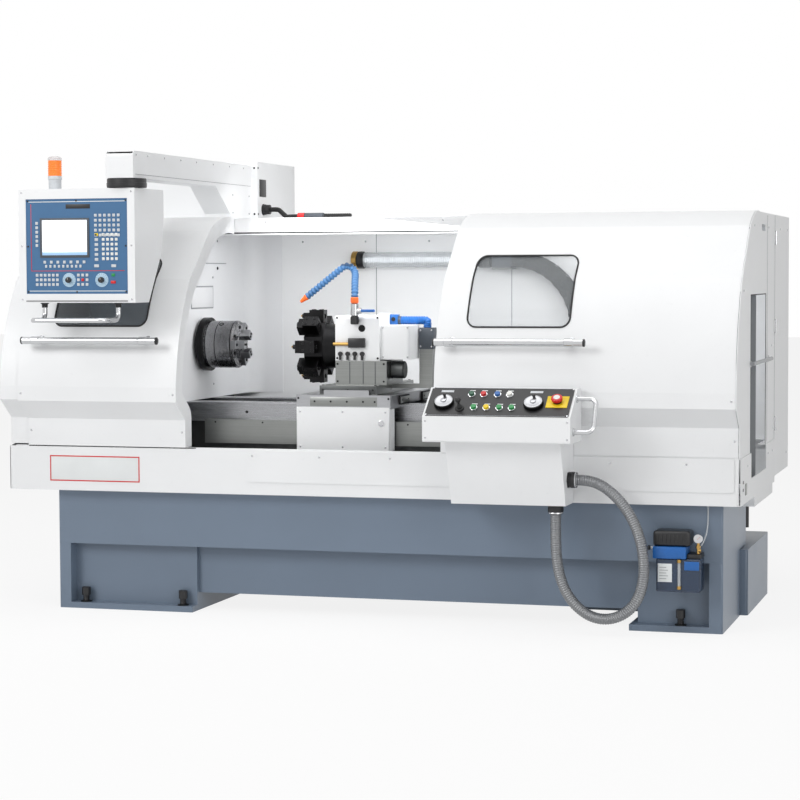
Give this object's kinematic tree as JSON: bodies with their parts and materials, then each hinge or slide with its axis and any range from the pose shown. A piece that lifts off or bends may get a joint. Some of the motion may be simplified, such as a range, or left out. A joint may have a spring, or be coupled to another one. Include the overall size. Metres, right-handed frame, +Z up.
{
  "type": "cnc turning lathe",
  "caption": "Flat-bed turning lathe with two sliding hoods, a chuck, a tool turret, a tailstock, a hanging control pendant and a sliding operator console.",
  "frame": {"origin": "middle of the overall box at floor level", "axes": "+X from the headstock to the tailstock, +Y away from the operator, +Z up"},
  "size_m": [3.13, 1.98, 1.93],
  "materials": {
    "cast_paint": "semi-gloss enamel on cast iron",
    "white_paint": "fine textured powder coat",
    "grey_paint": "smooth powder coat",
    "dark_paint": "black powder coat",
    "cast_iron": "machined and oiled",
    "steel": "ground",
    "chrome": "polished",
    "window": "clear pane, lightly soiled",
    "blue_panel": "printed membrane",
    "black_plastic": "moulded",
    "blue_plastic": "moulded",
    "red_plastic": "moulded",
    "orange_lens": "translucent lens",
    "rubber": "moulded",
    "conduit": "ribbed flexible sheath",
    "light_tube": "clear tube"
  },
  "bodies": {
    "machine": {"base_stand": "cast_paint", "levelling_bolts": "dark_paint", "chip_tray": "white_paint", "tray_front_rail": "white_paint", "coolant_tank": "cast_paint", "coolant_pump": "dark_paint", "lathe_bed": "cast_iron", "screw_cover": "steel", "headstock": "cast_paint", "headstock_wall": "white_paint", "spindle_motor": "dark_paint", "drive_belt": "rubber", "enclosure": "white_paint", "access_panel": "grey_paint", "electrical_cabinet": "white_paint", "pendant_arm": "white_paint", "pendant_swivel": "dark_paint", "work_light": "light_tube", "drag_chain": "black_plastic", "roof_cable": "rubber", "lubricator": "blue_plastic"},
    "left_hood": {"left_door": "white_paint", "left_window": "window", "left_handle": "chrome"},
    "right_hood": {"right_door": "white_paint", "right_window": "window", "right_handle": "chrome"},
    "spindle_line": {"spindle": "steel", "chuck_body": "steel"},
    "jaw_1": {"chuck_jaw_1": "steel"},
    "jaw_2": {"chuck_jaw_2": "steel"},
    "jaw_3": {"chuck_jaw_3": "steel"},
    "motor_shaft": {"motor_pulley": "cast_iron"},
    "carriage": {"saddle": "cast_iron", "apron_cover": "white_paint", "way_wipers": "rubber"},
    "slide_block": {"cross_slide": "cast_iron", "turret_housing": "white_paint", "coolant_line": "blue_plastic", "turret_conduit": "blue_plastic"},
    "turret": {"turret_disc": "steel", "tool_holders": "steel"},
    "pendant": {"pendant_box": "white_paint", "pendant_panel": "blue_panel", "pendant_handle": "chrome", "signal_lamp": "orange_lens"},
    "feed_knob": {"feed_dial": "black_plastic"},
    "speed_knob": {"speed_dial": "black_plastic"},
    "console": {"console_body": "white_paint", "console_panel": "black_plastic", "console_handle": "chrome", "hose_glands": "black_plastic", "hose": "conduit"},
    "wheel_left": {"handwheel_left": "black_plastic"},
    "wheel_right": {"handwheel_right": "black_plastic"},
    "stop_button": {"emergency_stop": "red_plastic"},
    "stick": {"joystick": "black_plastic"},
    "tailstock_body": {"tailstock": "cast_paint"},
    "quill": {"tailstock_quill": "steel"},
    "rear_door": {"cabinet_door": "white_paint"}
  },
  "joints": [
    {"name": "left_door_slide", "type": "slide", "parent": "machine", "child": "left_hood", "axis": [1, 0, 0], "range_m": [0, 0.36]},
    {"name": "right_door_slide", "type": "slide", "parent": "machine", "child": "right_hood", "axis": [1, 0, 0], "range_m": [-0.72, 0]},
    {"name": "spindle_turn", "type": "hinge", "parent": "machine", "child": "spindle_line", "pos_m": [-0.834, -0.145, 1.11], "axis": [1, 0, 0], "continuous": true},
    {"name": "jaw_1_slide", "type": "slide", "parent": "spindle_line", "child": "jaw_1", "axis": [0, -1, 0], "range_m": [-0.012, 0.012]},
    {"name": "jaw_2_slide", "type": "slide", "parent": "spindle_line", "child": "jaw_2", "axis": [0, 0.5, 0.866], "range_m": [-0.012, 0.012]},
    {"name": "jaw_3_slide", "type": "slide", "parent": "spindle_line", "child": "jaw_3", "axis": [0, 0.5, -0.866], "range_m": [-0.012, 0.012]},
    {"name": "motor_pulley_turn", "type": "hinge", "parent": "machine", "child": "motor_shaft", "pos_m": [-1.311, 0.255, 0.83], "axis": [1, 0, 0], "continuous": true},
    {"name": "carriage_slide", "type": "slide", "parent": "machine", "child": "carriage", "axis": [1, 0, 0], "range_m": [-0.25, 0.35]},
    {"name": "cross_slide_travel", "type": "slide", "parent": "carriage", "child": "slide_block", "axis": [0, 1, 0], "range_m": [-0.06, 0.12]},
    {"name": "turret_turn", "type": "hinge", "parent": "slide_block", "child": "turret", "pos_m": [-0.222, -0.315, 1.11], "axis": [1, 0, 0], "continuous": true},
    {"name": "pendant_swing", "type": "hinge", "parent": "machine", "child": "pendant", "pos_m": [-0.91, -0.841, 1.765], "axis": [0, 0, 1], "range_deg": [0, 90]},
    {"name": "feed_dial_turn", "type": "hinge", "parent": "pendant", "child": "feed_knob", "pos_m": [-1.14, -0.911, 1.3925], "axis": [0, 1, 0], "range_deg": [-135, 135]},
    {"name": "speed_dial_turn", "type": "hinge", "parent": "pendant", "child": "speed_knob", "pos_m": [-0.996, -0.911, 1.3925], "axis": [0, 1, 0], "range_deg": [-135, 135]},
    {"name": "console_slide", "type": "slide", "parent": "machine", "child": "console", "axis": [1, 0, 0], "range_m": [-0.8, 0.3]},
    {"name": "left_wheel_turn", "type": "hinge", "parent": "console", "child": "wheel_left", "pos_m": [0.4375, -0.91168, 0.91294], "axis": [0, -0.6083, 0.7937], "continuous": true},
    {"name": "right_wheel_turn", "type": "hinge", "parent": "console", "child": "wheel_right", "pos_m": [0.7925, -0.91168, 0.91294], "axis": [0, -0.6083, 0.7937], "continuous": true},
    {"name": "emergency_stop_press", "type": "slide", "parent": "console", "child": "stop_button", "axis": [0, -0.6083, 0.7937], "range_m": [-0.006, 0], "stiffness_N_per_m": 900, "springref_m": 0.002},
    {"name": "joystick_tilt", "type": "hinge", "parent": "console", "child": "stick", "pos_m": [0.5055, -0.93148, 0.89273], "axis": [1, 0, 0], "range_deg": [-15, 15], "stiffness_Nm_per_rad": 0.4},
    {"name": "tailstock_slide", "type": "slide", "parent": "machine", "child": "tailstock_body", "axis": [1, 0, 0], "range_m": [-0.3, 0]},
    {"name": "quill_slide", "type": "slide", "parent": "tailstock_body", "child": "quill", "axis": [1, 0, 0], "range_m": [-0.12, 0]},
    {"name": "cabinet_door_swing", "type": "hinge", "parent": "machine", "child": "rear_door", "pos_m": [-1.544, 0.986, 1.23], "axis": [0, 0, 1], "range_deg": [0, 110]}
  ],
  "couplings": [
    {"joint": "motor_pulley_turn", "follows": "spindle_turn", "ratio": 1.4286},
    {"joint": "jaw_2_slide", "follows": "jaw_1_slide", "ratio": 1},
    {"joint": "jaw_3_slide", "follows": "jaw_1_slide", "ratio": 1}
  ]
}
